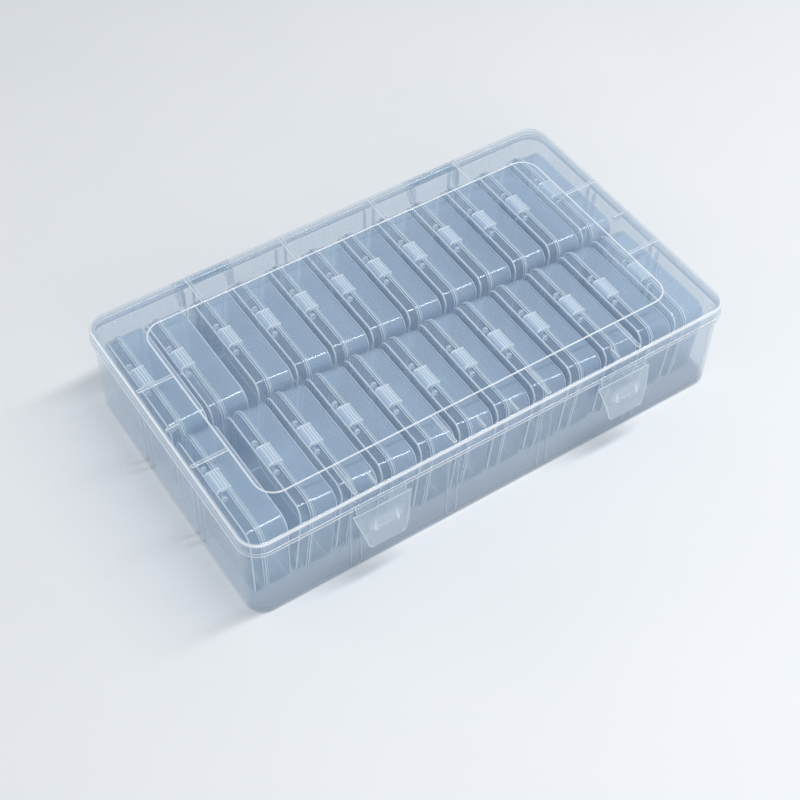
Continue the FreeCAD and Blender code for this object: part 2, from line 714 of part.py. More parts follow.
def place_case(pattern, name, row, number):
    """Copy of a case half at its place in a row: the first cases stand upright, the others lean."""
    piece = doc.addObject("Part::Compound", name)
    piece.Label = name
    piece.Links = [pattern]
    upright = round(value(f"{row}_upright"))
    side = "-" if row == "front" else ""
    if number < upright:
        lean = "0"
        along = f"wall_gap + cover_side + {number} * case_pitch"
        level = "tray_floor + seat_gap + case_height / 2"
    else:
        lean = f"{row}_lean"
        along = f"{row}_start + {number - upright} * {row}_step"
        level = f"{row}_level"
    piece.Placement = FreeCAD.Placement(
        FreeCAD.Vector(0, 0, 0), FreeCAD.Rotation(FreeCAD.Vector(0, 1, 0), value(lean))
    )
    if number >= upright:
        piece.setExpression("Placement.Rotation.Angle", formula(lean))
    piece.setExpression("Placement.Base.x", formula(f"-inner_length / 2 + {along}"))
    piece.setExpression("Placement.Base.y", formula(f"{side}(case_length + row_gap) / 2"))
    piece.setExpression("Placement.Base.z", formula(level))
    return piece


tray = make_tray()
lid = make_lid()
latches = [make_latch("latch_left", "-"), make_latch("latch_right", "")]
halves = {"body": make_case_body(), "lid": make_case_cover()}
doc.recompute()
cases = [
    place_case(halves[half], f"case_{row}_{number + 1:02d}_{half}", row, number)
    for row in ("front", "back")
    for number in range(round(value("row_count")))
    for half in ("body", "lid")
]
doc.recompute()

for item in doc.Objects:
    if "Invalid" in item.State or "Error" in item.State:
        raise RuntimeError(f"{item.Label} failed: {item.State}")
for cut in pockets:
    if not cut.Shape.Volume < cut.BaseFeature.Shape.Volume:
        raise RuntimeError(f"{cut.Label} removes nothing")

pieces = [tray, lid] + latches + cases
for piece in pieces:
    if piece.Shape.isNull() or not piece.Shape.isValid() or len(piece.Shape.Solids) != 1:
        raise RuntimeError(f"{piece.Label} is not one valid solid")

os.makedirs("parts", exist_ok=True)
for piece in pieces:
    piece.Shape.exportStep(f"parts/{piece.Label}.step")

for name in ("lid_length", "lid_width", "box_height", "inner_length", "inner_width", "lid_under"):
    print(f"{name} {value(name):.2f}")
for name in ("hinge_y", "hinge_z", "latch_y", "latch_z"):
    print(f"{name} {value(name):.3f}")
print(f"{len(pieces)} pieces")
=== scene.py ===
import json
import math

import bpy
import numpy as np
from mathutils import Matrix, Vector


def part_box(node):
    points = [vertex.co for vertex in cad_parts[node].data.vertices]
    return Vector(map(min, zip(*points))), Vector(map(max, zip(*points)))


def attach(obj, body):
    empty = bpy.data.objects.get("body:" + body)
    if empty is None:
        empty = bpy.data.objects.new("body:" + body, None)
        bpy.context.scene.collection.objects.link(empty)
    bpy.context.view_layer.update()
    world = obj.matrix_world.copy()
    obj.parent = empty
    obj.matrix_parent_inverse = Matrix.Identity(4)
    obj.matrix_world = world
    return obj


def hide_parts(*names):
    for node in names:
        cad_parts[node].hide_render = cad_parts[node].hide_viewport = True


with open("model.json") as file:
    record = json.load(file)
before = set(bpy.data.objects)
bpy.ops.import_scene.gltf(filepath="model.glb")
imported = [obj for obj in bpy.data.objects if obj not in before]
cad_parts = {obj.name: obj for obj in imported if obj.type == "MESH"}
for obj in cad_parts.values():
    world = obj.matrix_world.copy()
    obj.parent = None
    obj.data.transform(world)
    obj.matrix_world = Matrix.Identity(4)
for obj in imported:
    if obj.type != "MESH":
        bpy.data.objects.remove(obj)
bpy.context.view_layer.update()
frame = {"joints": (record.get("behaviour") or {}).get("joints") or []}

# Clear storage box with small flip-lid cases. Shapes are worked out in millimetres in the frame of the
# solids and put into the meshes in metres.

MM = 0.001
joints = {joint["name"]: joint for joint in frame["joints"]}


def node_box(node):
    """Lowest and highest corner of a solid, in millimetres."""
    low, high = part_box(node)
    return np.array(low) / MM, np.array(high) / MM


# Sizes of the moulded walls and details
TRAY_WALL, TRAY_FLOOR, TRAY_CORNER, TRAY_FOOT_ROUND = 1.3, 1.4, 9.6, 1.6
FLANGE_THICKNESS, SEAM_GAP = 1.2, 0.35
LID_TOP, LID_ROUND, LID_SIDE_GAP, SKIRT_WALL, SKIRT_HEIGHT = 1.3, 1.8, 0.35, 1.25, 7.4
RIDGE_INSET, RIDGE_CORNER, RIDGE_WIDTH, RIDGE_HEIGHT = 21.5, 10.0, 1.2, 0.5
TICK_WIDTH, TICK_HEIGHT, TICK_EDGE = 2.2, 0.4, 2.4
GRID_COLUMNS, GRID_ROWS = 5, 3
RIB_WIDTH, RIB_DEPTH, RIB_SPACING, RIB_TOP_GAP, RIB_FOOT, RIB_FOOT_HEIGHT = 1.0, 1.5, 5.5, 4.0, 2.4, 0.8
TAB_RADIUS, TAB_THICKNESS, TAB_GAP, TAB_STATION = 3.5, 1.2, 0.4, 9.3
HINGE_STATION, HINGE_BAR, HINGE_BORE, HINGE_KNUCKLE, HINGE_LENGTH = 70.0, 1.25, 1.33, 2.43, 24.0
HINGE_EAR, HINGE_PLAY, HINGE_GAP, HINGE_ARM, HINGE_WEB = 3.5, 0.4, 0.35, 3.0, 10.0
LATCH_STATION, LATCH_WIDTH, LATCH_WAIST, LATCH_TIP, LATCH_CORNER = 69.4, 31.0, 25.0, 20.0, 2.4
LATCH_THICKNESS, LATCH_KNUCKLE = 1.4, 0.8
LATCH_SLOPE, LATCH_TAB = np.array([-3.9, -11.0]), np.array([-1.2, -10.0])
LATCH_PAD_WIDTH, LATCH_PAD_HEIGHT, LATCH_PAD_RAISE = 12.5, 6.0, 0.9
LATCH_HOOK_LEVEL, LATCH_HOOK_HEIGHT, LATCH_HOOK_TIP, LATCH_GAP = 8.2, 1.2, 0.3, 0.3
CATCH_REACH, CATCH_HEIGHT, LEDGE_WIDTH, LEDGE_RISE = 2.6, 4.0, 27.0, 1.8
CASE_LENGTH, CASE_HEIGHT, CASE_CORNER, CASE_WALL, CASE_ROUND = 71.5, 48.6, 8.0, 1.0, 2.0
LIP_REACH, LIP_THICKNESS, PARTING_GAP = 0.9, 1.35, 0.1
BODY_SIDE, COVER_SIDE = LIP_THICKNESS + 12.8, LIP_THICKNESS + 5.5
CASE_HINGE_INSET, CASE_HINGE_LEVEL, CASE_BAR, CASE_BORE = 4.6, CASE_HEIGHT / 2 + 0.6, 0.8, 0.85
EAR_RADIUS, EAR_THICKNESS, EAR_STATION = 1.5, 1.2, 9.95
CLIP_LENGTH, CLIP_END_BAR, CLIP_END_RAISE, CLIP_CAP, CLIP_NOSE = 10.6, 0.9, 0.25, 0.65, 0.95
CLIP_LIP_GAP, CLIP_RIB, CLIP_RIB_POINTS = 0.25, 0.16, 25
ROW_COUNT, UPRIGHT, LEAN = 12, {"front": 1, "back": 2}, {"front": 6.5, "back": 5.5}

# Small rounds where moulded faces meet
EDGE_ROUND, CREASE_ROUND, FLANGE_ROUND, RIM_ROUND, INNER_ROUND, SKIRT_BEAD = 0.35, 0.3, 0.4, 0.5, 1.0, 0.3
SKIRT_STEP, SKIRT_ROUND, SHARP_ANGLE = 1.2, 0.6, 50

# Points along and across a latch
LATCH_ROWS, LATCH_END_ROWS, LATCH_COLUMNS, LATCH_SIDE_POINTS, LATCH_BACK_STEP = 64, 13, 45, 5, 6
LATCH_BEND, LATCH_PAD_LIP = 1.2, 0.12

# Heights in metres between which painted shade darkens the haze: none at the first, full at the second
SHADE_LEVEL, FOOT_LEVEL = 0.047, 0.001
# White that frost and the painted edge highlight turn the haze towards, tint of the mirror, and refractive
# index
FROST_AND_HIGHLIGHT_WHITE, MIRROR_TINT, PLASTIC_IOR = (0.94, 0.965, 0.98, 1), (0.97, 0.98, 1, 1), 1.49

# Camera fitted to the photograph: angles in degrees, focal length in pixels of its frame, place in metres
VIEW_BEARING, VIEW_HEIGHT, VIEW_ROLL = -34.105, 50.069, 0.969
VIEW_FOCAL, VIEW_FRAME, SENSOR_WIDTH = 1558.93, 800, 36.0
VIEW_PLACE = (-0.2960, -0.4307, 0.6130)

# Floor and surroundings
FLOOR_REACH, WORLD_COLOUR, WORLD_STRENGTH = 4.0, (0.86, 0.92, 1.0, 1), 0.45

# Places that follow from the frame
hinge_y, hinge_z = (value / MM for value in joints["lid_hinge"]["pos_m"][1:])
latch_y, latch_z = (value / MM for value in joints["latch_left_hinge"]["pos_m"][1:])
lid_half = np.array([node_box("lid")[1][0], hinge_y - HINGE_GAP - HINGE_KNUCKLE])
lid_corner = TRAY_CORNER + LID_SIDE_GAP + SKIRT_WALL
tray_half = lid_half - LID_SIDE_GAP - SKIRT_WALL
inner_half = tray_half - TRAY_WALL
tray_top = node_box("base_tray")[1][2]
box_top = node_box("lid")[1][2] - RIDGE_HEIGHT
lid_under = box_top - LID_TOP
skirt_bottom = box_top - SKIRT_HEIGHT
flange_top = skirt_bottom - SEAM_GAP
stations_x = (np.arange(1, GRID_COLUMNS) / GRID_COLUMNS * 2 - 1) * inner_half[0]
stations_y = (np.arange(1, GRID_ROWS) / GRID_ROWS * 2 - 1) * inner_half[1]


class Shell:
    """Mesh in the making: closed surfaces, each turned so that its faces point outwards, with a
    weight per point for frost and for a painted highlight where a moulded edge would catch the light."""

    def __init__(self):
        self.points, self.glow, self.quads, self.caps, self.count = [], [], [], [], 0

    def add(self, points, glow, quads, caps=()):
        """Adds one closed surface. Its faces are turned where its signed volume, the sum of the triple
        products of its triangles' corners, is below zero."""
        fans = [np.stack([np.full(len(cap) - 2, cap[0]), cap[1:-1], cap[2:]], 1) for cap in caps]
        triangles = np.vstack([quads[:, :3], quads[:, [0, 2, 3]]] + fans)
        a, b, c = (points[triangles[:, i]] for i in range(3))
        if np.einsum("ij,ij->", a, np.cross(b, c)) < 0:
            quads, caps = quads[:, ::-1], [cap[::-1] for cap in caps]
        self.quads.append(quads + self.count)
        self.caps += [cap + self.count for cap in caps]
        self.points.append(points)
        self.glow.append(np.broadcast_to(glow, len(points)))
        self.count += len(points)

    def mesh(self, name, place=None):
        """Mesh data in metres; place turns millimetre points into the row frame first."""
        points = np.vstack(self.points)
        points = (points if place is None else place(points)) * MM
        faces = np.vstack(self.quads).tolist() + [cap.tolist() for cap in self.caps]
        data = bpy.data.meshes.new(name)
        data.from_pydata(points.tolist(), [], faces)
        # Per-point weight of frost and painted edge highlight, read by the finishes
        data.attributes.new("edge", "FLOAT", "POINT").data.foreach_set("value", np.concatenate(self.glow))
        data.shade_smooth()
        data.set_sharp_from_angle(angle=math.radians(SHARP_ANGLE))
        return data


def grid_quads(rows, columns, wrap_rows=False):
    """Quads of a grid whose columns close on themselves, and whose rows may."""
    last = rows if wrap_rows else rows - 1
    i, j = np.meshgrid(np.arange(last), np.arange(columns), indexing="ij")
    up, on = (i + 1) % rows, (j + 1) % columns
    corners = [i * columns + j, i * columns + on, up * columns + on, up * columns + j]
    return np.stack(corners, -1).reshape(-1, 4)


def arc(middle, radius, start, end, glow=0.0, steps=4, power=1.0, frost=0.0, lean=1.0):
    """Profile rows (inset, height, glow) on a circle between two angles in degrees; the glow, a painted
    highlight, swells as a power of a sine from its frost at both ends, with its peak nearer the end where
    lean is over 1."""
    t = np.linspace(0, 1, steps + 1)
    angle = np.radians(start + (end - start) * t)
    swell = frost + (glow - frost) * np.sin(math.pi * t**lean).clip(0) ** power
    return np.stack([middle[0] + radius * np.cos(angle), middle[1] + radius * np.sin(angle), swell], 1)


def carry_round(shell, profile, half, corner, steps=9, closed=False, axes=(0, 1, 2)):
    """Profile carried round a rounded rectangle: a point is its corner's centre plus (corner - inset)
    along the corner's own direction, at the profile's height. An open profile is capped at both ends."""
    turn = (np.arange(4)[:, None] + np.linspace(0, 1, steps + 1)) * math.pi / 2
    direction = np.stack([np.cos(turn), np.sin(turn)], -1).reshape(-1, 2)
    quadrant = np.repeat(np.array([[1, 1], [-1, 1], [-1, -1], [1, -1]]), steps + 1, axis=0)
    centre = quadrant * (np.array(half) - corner)
    flat = centre + (corner - profile[:, 0])[:, None, None] * direction
    rows, columns = flat.shape[:2]
    height = np.broadcast_to(profile[:, 1][:, None, None], (rows, columns, 1))
    points = np.empty((rows * columns, 3))
    points[:, list(axes)] = np.concatenate([flat, height], -1).reshape(-1, 3)
    ring = np.arange(columns)
    caps = [] if closed else [ring, ring + (rows - 1) * columns]
    shell.add(points, np.repeat(profile[:, 2], columns), grid_quads(rows, columns, closed), caps)


def soften(corners, radius, steps=3):
    """Closed outline whose corners are cut by quadratic curves from one side to the next."""
    corners = np.array(corners, float)
    back, ahead = np.roll(corners, 1, 0) - corners, np.roll(corners, -1, 0) - corners
    length = np.stack([np.linalg.norm(back, axis=1), np.linalg.norm(ahead, axis=1)], 1)
    cut = np.minimum(radius, 0.45 * length.min(1))[:, None]
    start, end = corners + back / length[:, :1] * cut, corners + ahead / length[:, 1:] * cut
    u = np.linspace(0, 1, steps + 1)[:, None, None]
    return ((1 - u) ** 2 * start + 2 * u * (1 - u) * corners + u**2 * end).transpose(1, 0, 2).reshape(-1, 2)


def disc(middle, radius, start=0, end=360, count=24):
    """Points on a circle, or on part of one with both of its ends."""
    whole = end - start == 360
    angle = np.radians(np.linspace(start, end, count, endpoint=not whole))
    return np.stack([middle[0] + radius * np.cos(angle), middle[1] + radius * np.sin(angle)], 1)


def prism(shell, outline, low, high, along, bevel=0.25, glow=0.6, frost=0.0):
    """Outline carried straight along an axis, drawn in at both ends on a quarter circle. The outline's
    two coordinates are the other two axes in order. The ends' rounded edges get a painted highlight,
    the glow, and frost, one value or one per outline point, is added all along."""
    after, before = np.roll(outline, -1, 0) - outline, outline - np.roll(outline, 1, 0)
    turned = [np.stack([-side[:, 1], side[:, 0]], 1) for side in (before, after)]
    turned = [side / np.linalg.norm(side, axis=1, keepdims=True) for side in turned]
    area = np.sum(outline[:, 0] * np.roll(outline[:, 1], -1) - outline[:, 1] * np.roll(outline[:, 0], -1))
    meet = 1 + np.sum(turned[0] * turned[1], axis=1, keepdims=True)
    inward = np.sign(area) * (turned[0] + turned[1]) / np.maximum(meet, 0.4)
    quarter = np.radians([0, 30, 60, 90])
    inset, step = bevel * (1 - np.sin(quarter)), bevel * (1 - np.cos(quarter))
    level = np.concatenate([low + step, high - step[::-1]])
    flat = outline + np.concatenate([inset, inset[::-1]])[:, None, None] * inward
    rows, columns = flat.shape[:2]
    points = np.empty((rows, columns, 3))
    points[..., along] = level[:, None]
    points[..., [axis for axis in range(3) if axis != along]] = flat
    # Painted highlight on the rounded ends, with frost added all along
    lit = np.concatenate([np.sin(2 * quarter), np.sin(2 * quarter[::-1])])[:, None] * glow
    lit = np.clip(lit + np.broadcast_to(frost, columns), 0, 1)
    ring = np.arange(columns)
    caps = [ring, ring + (rows - 1) * columns]
    shell.add(points.reshape(-1, 3), lit.ravel(), grid_quads(rows, columns), caps)


def tray_shell():
    """Tray: one wall profile carried round, then ribs, catches, hinge ears and bars."""
    shell = Shell()
    low = flange_top - FLANGE_THICKNESS
    reach = LID_SIDE_GAP + SKIRT_WALL
    foot, edge, rim, crease = TRAY_FOOT_ROUND, EDGE_ROUND, RIM_ROUND, CREASE_ROUND
    under, inner = FLANGE_ROUND, INNER_ROUND
    # Glow values paint highlights along the rounded edges of the wall
    profile = np.vstack([
        [[foot + 2, 0, 0]],
        arc((foot, foot), foot, 270, 180, glow=0.8, steps=10, power=6),
        arc((-under, low - under), under, 0, 90),
        arc((edge - reach, low + edge), edge, 270, 180, glow=1.0, power=0.6),
        arc((edge - reach, flange_top - edge), edge, 180, 90, glow=1.0, power=0.6),
        arc((-crease, flange_top + crease), crease, 270, 360),
        arc((rim, tray_top - rim), rim, 180, 90, glow=0.9),
        arc((TRAY_WALL - rim, tray_top - rim), rim, 90, 0, glow=0.9),
        arc((TRAY_WALL + inner, TRAY_FLOOR + inner), inner, 180, 270, glow=0.25),
        [[TRAY_WALL + inner + 2, TRAY_FLOOR, 0]],
    ])
    carry_round(shell, profile, tray_half, TRAY_CORNER)
    for along, stations in ((0, stations_x), (1, stations_y)):
        for station in stations:
            for side in (-1, 1):
                for pair in (-0.5, 0.5):
                    add_rib(shell, along, station + pair * RIB_SPACING, side)
    for side in (-1, 1):
        add_catch(shell, side * LATCH_STATION)
        add_tray_hinge(shell, side * HINGE_STATION)
    return shell


def add_rib(shell, along, station, side):
    """Upright rib on an inner wall and its foot on the floor."""
    wall = side * (inner_half[1 - along] + TRAY_WALL / 2)
    top, half = tray_top - RIB_TOP_GAP, RIB_WIDTH / 2
    for reach, high in ((RIB_DEPTH, top), (RIB_FOOT, TRAY_FLOOR + RIB_FOOT_HEIGHT)):
        inner = side * (inner_half[1 - along] - reach)
        slant = inner + side * min(0.6, reach - 0.6)
        outline = soften([(wall, 0.9), (inner, 0.9), (inner, high - 0.6), (slant, high), (wall, high)], 0.3)
        prism(shell, outline, station - half, station + half, along, bevel=0.25, glow=0.7, frost=0.08)


def add_catch(shell, station):
    """Wedge on the front wall behind a latch."""
    low = latch_z - LATCH_HOOK_LEVEL + LATCH_GAP
    wall, reach = -tray_half[1], -tray_half[1] - CATCH_REACH
    outline = soften([
        (wall + TRAY_WALL / 2, low),
        (wall + TRAY_WALL / 2, low + CATCH_HEIGHT),
        (wall, low + CATCH_HEIGHT),
        (reach, low + CATCH_HEIGHT / 2),
        (reach, low),
    ], 0.3)
    prism(shell, outline, station - LATCH_PAD_WIDTH / 2, station + LATCH_PAD_WIDTH / 2, 0)


def add_tray_hinge(shell, station):
    """Two ears on sloping webs, and the bar between them."""
    offset = HINGE_LENGTH / 2 + HINGE_PLAY + HINGE_EAR / 2
    wall = tray_half[1] - TRAY_WALL / 2
    below = disc((hinge_y, hinge_z), HINGE_KNUCKLE, 180, -45, 20)
    web = np.vstack([below, [[wall, hinge_z - HINGE_WEB], [wall, hinge_z]]])
    for middle in (station - offset, station + offset):
        low, high = middle - HINGE_EAR / 2, middle + HINGE_EAR / 2
        prism(shell, web, low, high, 0, bevel=0.3, glow=0.7, frost=0.05)
    prism(shell, disc((hinge_y, hinge_z), HINGE_BAR), station - offset, station + offset, 0, frost=0.1)


def lid_shell():
    """Lid: skirt and top as one profile carried round, then its ridge, bars, tabs, ledges and clips."""
    shell = Shell()
    bead, wall, edge, crease, inner = SKIRT_BEAD, SKIRT_WALL, EDGE_ROUND, CREASE_ROUND, SKIRT_ROUND
    # Glow values paint highlights along the rounded edges of the skirt and top
    profile = np.vstack([
        [[wall + 2, lid_under, 0]],
        arc((wall + inner, lid_under - inner), inner, 90, 180, glow=0.6),
        arc((wall - crease, skirt_bottom + crease), crease, 0, -90, glow=0.9),
        arc((edge, skirt_bottom + edge), edge, 270, 180, glow=1.0, power=0.6),
        arc((bead, skirt_bottom + SKIRT_STEP), bead, 180, 90, glow=0.6),
        arc((bead + LID_ROUND, box_top - LID_ROUND), LID_ROUND, 180, 90, glow=0.75, steps=10, power=1.5),
        [[bead + LID_ROUND + 2, box_top, 0]],
    ])
    carry_round(shell, profile, lid_half, lid_corner)
    half_turn = np.linspace(0, math.pi, 9)
    # Ridge bead, with a painted highlight along its crest as its glow
    bead_rows = np.stack([
        -RIDGE_WIDTH / 2 * np.cos(half_turn),
        box_top + RIDGE_HEIGHT * np.sin(half_turn),
        0.75 * np.sin(half_turn),
    ], 1)
    base = np.array([[RIDGE_WIDTH / 2, box_top - 0.2, 0], [-RIDGE_WIDTH / 2, box_top - 0.2, 0]])
    carry_round(shell, np.vstack([bead_rows, base]), lid_half - RIDGE_INSET, RIDGE_CORNER, closed=True)
    for along, stations in ((0, stations_x), (1, stations_y)):
        across = 1 - along
        inner, outer = lid_half[across] - RIDGE_INSET, lid_half[across] - TICK_EDGE
        for station in stations:
            for side in (-1, 1):
                low, high = sorted((side * inner, side * outer))
                plan = np.array([(station - TICK_WIDTH / 2, low), (station + TICK_WIDTH / 2, low),
                                 (station + TICK_WIDTH / 2, high), (station - TICK_WIDTH / 2, high)])
                plan = soften(plan if along == 0 else plan[:, ::-1], 0.9)
                prism(shell, plan, box_top - 0.3, box_top + TICK_HEIGHT, 2, bevel=0.3, glow=0.9, frost=0.15)
    for station in (-LATCH_STATION, -TAB_STATION, TAB_STATION, LATCH_STATION):
        add_tab(shell, -(inner_half[1] - TAB_GAP - TAB_RADIUS), station, 0)
    for side in (-1, 1):
        add_tab(shell, side * (inner_half[0] - TAB_GAP - TAB_RADIUS), 0, 1)
        add_ledge(shell, side * LATCH_STATION)
        add_lid_hinge(shell, side * HINGE_STATION)
    return shell


def add_tab(shell, middle, station, along):
    """Half-round tab that hangs from the lid's underside and keeps the tray's wall in place."""
    outline = np.vstack([
        disc((middle, lid_under), TAB_RADIUS, 180, 360, 24),
        [[middle + TAB_RADIUS, lid_under + 0.3], [middle - TAB_RADIUS, lid_under + 0.3]],
    ])
    half = TAB_THICKNESS / 2
    prism(shell, outline, station - half, station + half, along, bevel=0.3, glow=0.9, frost=0.4)


def add_ledge(shell, station):
    """Sloped ledge on the front of the skirt that carries a latch."""
    face, under = -lid_half[1], latch_z + LATCH_KNUCKLE + LATCH_GAP
    outline = soften([
        (face + SKIRT_WALL / 2, skirt_bottom),
        (face + SKIRT_WALL / 2, skirt_bottom + LEDGE_RISE),
        (face, skirt_bottom + LEDGE_RISE),
        (latch_y, under + LATCH_GAP),
        (latch_y, under),
        (face - HINGE_GAP, under),
        (face - HINGE_GAP, skirt_bottom),
    ], 0.2)
    half = LEDGE_WIDTH / 2
    prism(shell, outline, station - half, station + half, 0, bevel=0.3, glow=0.9, frost=0.12)


def add_lid_hinge(shell, station):
    """Arm from the skirt to a knuckle round the tray's bar, a ring profile carried round a circle."""
    face, half = lid_half[1], HINGE_LENGTH / 2
    arm = soften([
        (face - SKIRT_WALL / 2, skirt_bottom),
        (face + HINGE_GAP, skirt_bottom),
        (hinge_y, hinge_z + HINGE_BAR + 0.3),
        (hinge_y, hinge_z + HINGE_KNUCKLE - 0.05),
        (face, skirt_bottom + HINGE_ARM),
        (face - SKIRT_WALL / 2, skirt_bottom + HINGE_ARM),
    ], 0.15)
    prism(shell, arm, station - half, station + half, 0, bevel=0.3, glow=0.7, frost=0.05)
    wall, edge = HINGE_KNUCKLE - HINGE_BORE, CREASE_ROUND
    profile = np.vstack([
        arc((edge, edge - half), edge, 180, 270, glow=0.7),
        [[wall, -half, 0], [wall, half, 0]],
        arc((edge, half - edge), edge, 90, 180, glow=0.7),
    ])
    ring = Shell()
    carry_round(ring, profile, (HINGE_KNUCKLE, HINGE_KNUCKLE), HINGE_KNUCKLE, 8, closed=True, axes=(1, 2, 0))
    shell.add(ring.points[0] + [station, hinge_y, hinge_z], ring.glow[0], ring.quads[0])


def smooth_step(low, high, value):
    """Cubic that goes from 0 at low to 1 at high."""
    t = np.clip((value - low) / (high - low), 0, 1)
    return t * t * (3 - 2 * t)


def latch_shell(station):
    """Thumb flap: a rounded flat section carried down a line that bends at the crease. Across the line
    the section's half width follows the flap's outline, and its front swells into the raised pad."""
    shell = Shell()
    slope, tab = np.linalg.norm(LATCH_SLOPE), np.linalg.norm(LATCH_TAB)
    total = slope + tab
    straight = np.linspace(0, total - LATCH_CORNER, LATCH_ROWS)
    rounded = np.sin(np.linspace(0, math.pi / 2, LATCH_END_ROWS)[1:])
    s = np.concatenate([straight, total - LATCH_CORNER + LATCH_CORNER * rounded])
    bend = smooth_step(slope - LATCH_BEND, slope + LATCH_BEND, s)[:, None]
    tangent = (1 - bend) * LATCH_SLOPE / slope + bend * LATCH_TAB / tab
    tangent /= np.linalg.norm(tangent, axis=1, keepdims=True)
    steps = np.diff(s)[:, None] * (tangent[1:] + tangent[:-1]) / 2
    line = np.vstack([[0, 0], np.cumsum(steps, axis=0)])
    normal = np.stack([tangent[:, 1], -tangent[:, 0]], 1)
    width = np.interp(s, [0, slope, total], [LATCH_WIDTH / 2, LATCH_WAIST / 2, LATCH_TIP / 2])
    past = np.clip(s - (total - LATCH_CORNER), 0, LATCH_CORNER)
    width -= LATCH_CORNER - np.sqrt(LATCH_CORNER**2 - past**2)
    thick = LATCH_THICKNESS / 2 * np.sqrt(np.clip(1 - ((s - total + 0.5).clip(0) / 0.5) ** 2, 0.04, 1))
    u = np.sin(np.linspace(-1, 1, LATCH_COLUMNS) * math.pi / 2)
    back = u[::-LATCH_BACK_STEP]
    round_end = np.radians(np.linspace(90, -90, LATCH_SIDE_POINTS + 2)[1:-1])
    side, rise = np.cos(round_end), np.sin(round_end)
    across = np.concatenate([u, np.ones_like(side), back, -np.ones_like(side)])
    bulge = np.concatenate([np.zeros_like(u), side, np.zeros_like(back), -side[::-1]])
    level = np.concatenate([np.ones_like(u), rise, -np.ones_like(back), rise[::-1]])
    x = (width - thick)[:, None] * across + thick[:, None] * bulge
    pad_top = slope * (1 - LATCH_PAD_HEIGHT / -LATCH_SLOPE[1])
    wedge = LATCH_PAD_RAISE * np.clip((s - pad_top) / (slope - pad_top), 0, 1) + LATCH_PAD_LIP
    inside = smooth_step(pad_top - 0.3, pad_top + 0.3, s) * (1 - smooth_step(slope - 0.5, slope, s))
    beside = 1 - smooth_step(LATCH_PAD_WIDTH / 2 - 0.45, LATCH_PAD_WIDTH / 2, np.abs(x))
    pad = (wedge * inside)[:, None] * beside
    depth = thick[:, None] * level + pad * (level == 1)
    points = np.stack([
        station + x,
        latch_y + line[:, :1] + depth * normal[:, :1],
        latch_z + line[:, 1:] + depth * normal[:, 1:],
    ], -1)
    rows, columns = x.shape
    # Painted highlight on the pad's slopes and the flap's rounded sides, kept as the edge weight
    slant = np.abs(np.gradient(pad, axis=0)) + np.abs(np.gradient(pad, axis=1))
    lit = np.clip(slant * 1.2, 0, 0.45) + 0.8 * np.abs(bulge) * (level < 1) * (level > -1)
    ring = np.arange(columns)
    caps = [ring, ring + (rows - 1) * columns]
    shell.add(points.reshape(-1, 3), np.clip(lit, 0, 1).ravel(), grid_quads(rows, columns), caps)
    half, pad_half = LATCH_WIDTH / 2, LATCH_PAD_WIDTH / 2
    knuckle = disc((latch_y, latch_z), LATCH_KNUCKLE, count=16)
    prism(shell, knuckle, station - half, station + half, 0, bevel=0.3, glow=0.6)
    lean = LATCH_SLOPE[0] / LATCH_SLOPE[1]
    low = LATCH_HOOK_LEVEL + LATCH_HOOK_HEIGHT
    hook = soften([
        (latch_y - LATCH_HOOK_LEVEL * lean, latch_z - LATCH_HOOK_LEVEL),
        (latch_y + LATCH_HOOK_TIP, latch_z - LATCH_HOOK_LEVEL),
        (latch_y + LATCH_HOOK_TIP, latch_z - LATCH_HOOK_LEVEL - LATCH_HOOK_HEIGHT / 2),
        (latch_y - low * lean, latch_z - low),
    ], 0.2)
    prism(shell, hook, station - pad_half, station + pad_half, 0, bevel=0.25, glow=0.5)
    return shell


def half_case(side, depth, gap):
    """Half of a small case: lip, wall and rounded end as one profile carried round the case's outline.
    side is the direction of the half from the parting plane."""
    shell = Shell()
    wall, lip, end = LIP_REACH + CASE_WALL, LIP_THICKNESS, LIP_REACH + CASE_ROUND
    edge, crease, inner, floor = EDGE_ROUND, CREASE_ROUND, INNER_ROUND, depth - CASE_WALL
    # Glow values paint highlights along the rounded end, lip and wall edges
    profile = np.vstack([
        [[end + 2, depth, 0]],
        arc((end, depth - CASE_ROUND), CASE_ROUND, 90, 180, glow=0.9, steps=16, power=8, lean=1.8),
        arc((LIP_REACH - crease, lip + crease), crease, 0, -90),
        arc((edge, lip - edge), edge, 90, 180, glow=1.0, power=0.8, frost=0.06),
        arc((edge, gap + edge), edge, 180, 270, glow=1.0, power=0.8, frost=0.06),
        arc((wall - crease, gap + crease), crease, 270, 360, glow=0.5),
        arc((wall + inner, floor - inner), inner, 180, 90, glow=0.2),
        [[wall + inner + 2, floor, 0]],
    ])
    profile[:, 1] *= side
    carry_round(shell, profile, (CASE_LENGTH / 2, CASE_HEIGHT / 2), CASE_CORNER, 8, axes=(1, 2, 0))
    return shell


